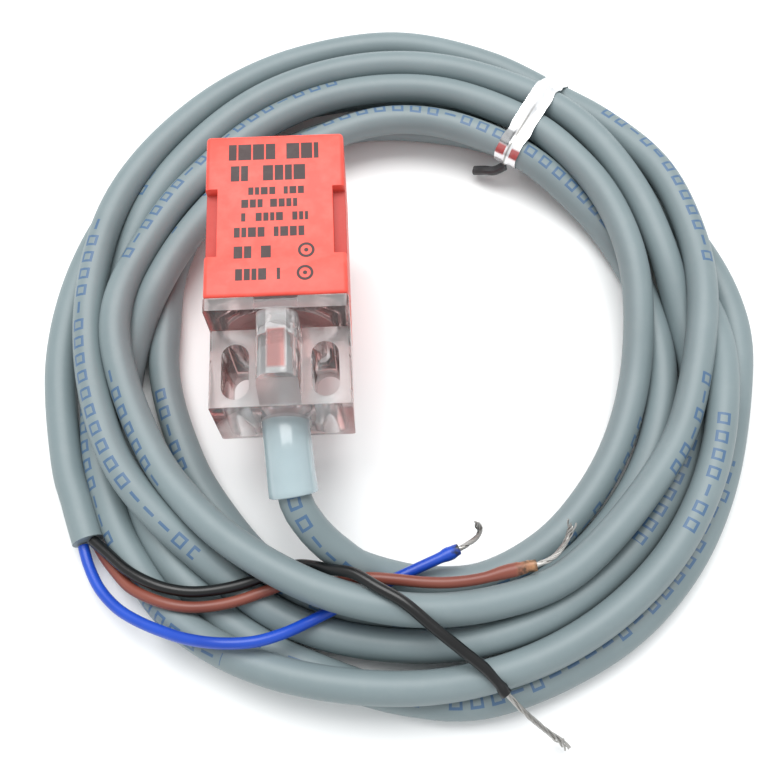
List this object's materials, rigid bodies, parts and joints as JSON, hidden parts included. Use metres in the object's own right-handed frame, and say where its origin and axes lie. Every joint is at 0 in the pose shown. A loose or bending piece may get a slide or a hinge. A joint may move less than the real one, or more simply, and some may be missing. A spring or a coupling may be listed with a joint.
{
  "type": "inductive proximity sensor",
  "caption": "Rectangular inductive proximity sensor with slotted mounting lugs and a coiled three-core cable ending in bare leads.",
  "frame": {"origin": "centre of the sensing face, the flat front end of the red cover", "axes": "+Y out of the sensing face, along the sensor's length; +Z out of the label side; +X to the right seen from the label side with the sensing face up"},
  "size_m": [0.1062, 0.1119, 0.0268],
  "materials": {
    "cover_red": "satin",
    "clear_body": "gloss",
    "core_ferrite": "matt",
    "bobbin": "matt",
    "winding_copper": "gloss",
    "board": "satin",
    "chip_black": "matt",
    "chip_ceramic": "matt",
    "lamp_red": "gloss",
    "potting": "matt",
    "sleeve": "satin",
    "jacket_grey": "satin",
    "core_blue": "satin",
    "core_black": "satin",
    "core_brown": "satin",
    "tinned_copper": "satin",
    "solder": "gloss",
    "tie_foil": "gloss",
    "tie_core": "satin"
  },
  "bodies": {
    "root": {"red_cover": "cover_red", "clear_housing": "clear_body", "ferrite_core": "core_ferrite", "coil_bobbin": "bobbin", "coil_winding": "winding_copper", "circuit_board": "board", "oscillator_ic": "chip_black", "output_transistor": "chip_black", "protection_diode": "chip_black", "tuning_capacitor": "chip_ceramic", "filter_capacitor": "chip_ceramic", "bypass_capacitor": "chip_ceramic", "gain_resistor": "chip_black", "bias_resistor": "chip_black", "led_resistor": "chip_black", "pull_up_resistor": "chip_black", "indicator_led": "lamp_red", "potting_resin": "potting", "strain_relief_sleeve": "sleeve", "jacket_in_sleeve": "jacket_grey", "inner_core_blue": "core_blue", "inner_core_black": "core_black", "inner_core_brown": "core_brown", "solder_pad_blue": "solder", "solder_pad_black": "solder", "solder_pad_brown": "solder", "cable_lead_in": "jacket_grey", "cable_coil": "jacket_grey", "cable_tail": "jacket_grey", "lead_blue": "core_blue", "lead_black": "core_black", "lead_brown": "core_brown", "strands_blue": "tinned_copper", "strands_black": "tinned_copper", "strands_brown": "tinned_copper", "twist_tie": "tie_foil", "twist_tie_tail": "tie_core"}
  },
  "joints": []
}
